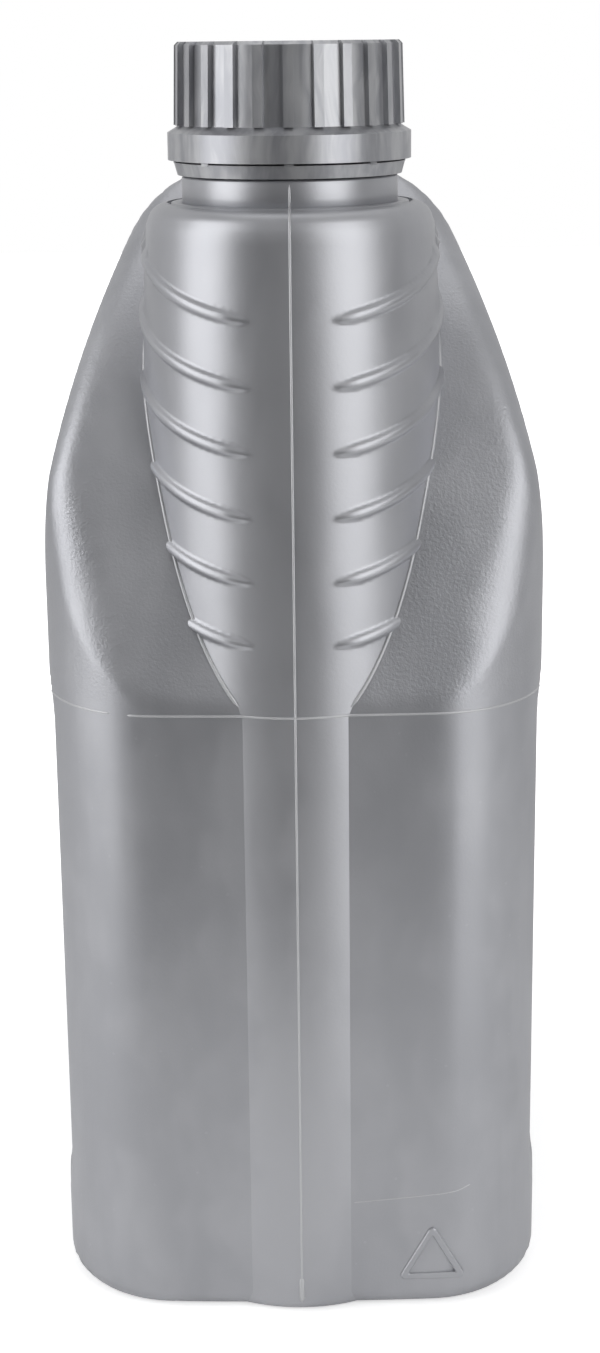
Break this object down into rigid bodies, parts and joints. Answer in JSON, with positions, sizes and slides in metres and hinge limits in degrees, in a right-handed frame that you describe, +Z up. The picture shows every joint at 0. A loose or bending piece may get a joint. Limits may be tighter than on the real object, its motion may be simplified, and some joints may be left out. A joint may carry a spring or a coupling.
{
  "type": "transmission fluid bottle",
  "caption": "Tall blow-moulded plastic fluid bottle with integral handle, ribbed front column, screw cap, tamper ring and sealing wad.",
  "frame": {"origin": "centre of the base of the whole object's box, on the surface that it stands on", "axes": "+Z up; -Y is the narrow front with the neck and ribbed column; X runs across the bottle's thickness"},
  "size_m": [0.1306, 0.19, 0.315],
  "materials": {
    "bottle_plastic": "silver-grey pearl-pigmented polyethylene, satin, finely blasted on the slopes",
    "cap_plastic": "silver-grey pearl-pigmented plastic with faint flow streaks, semi-gloss",
    "wad_foam": "white foamed polyethylene with a smooth skin"
  },
  "bodies": {
    "bottle": {"bottle": "bottle_plastic", "neck": "bottle_plastic", "tamper_ring": "cap_plastic"},
    "wad": {"sealing_wad": "wad_foam"},
    "cap": {"screw_cap": "cap_plastic"}
  },
  "joints": [
    {"name": "cap_lift", "type": "slide", "parent": "bottle", "child": "wad", "axis": [0, 0, 1], "range_m": [0, 0.0255]},
    {"name": "cap_turn", "type": "hinge", "parent": "wad", "child": "cap", "pos_m": [0, -0.059, 0.3], "axis": [0, 0, 1], "range_deg": [0, 1530]}
  ],
  "couplings": [
    {"joint": "cap_turn", "follows": "cap_lift", "rad_per_m": 1047.2}
  ]
}
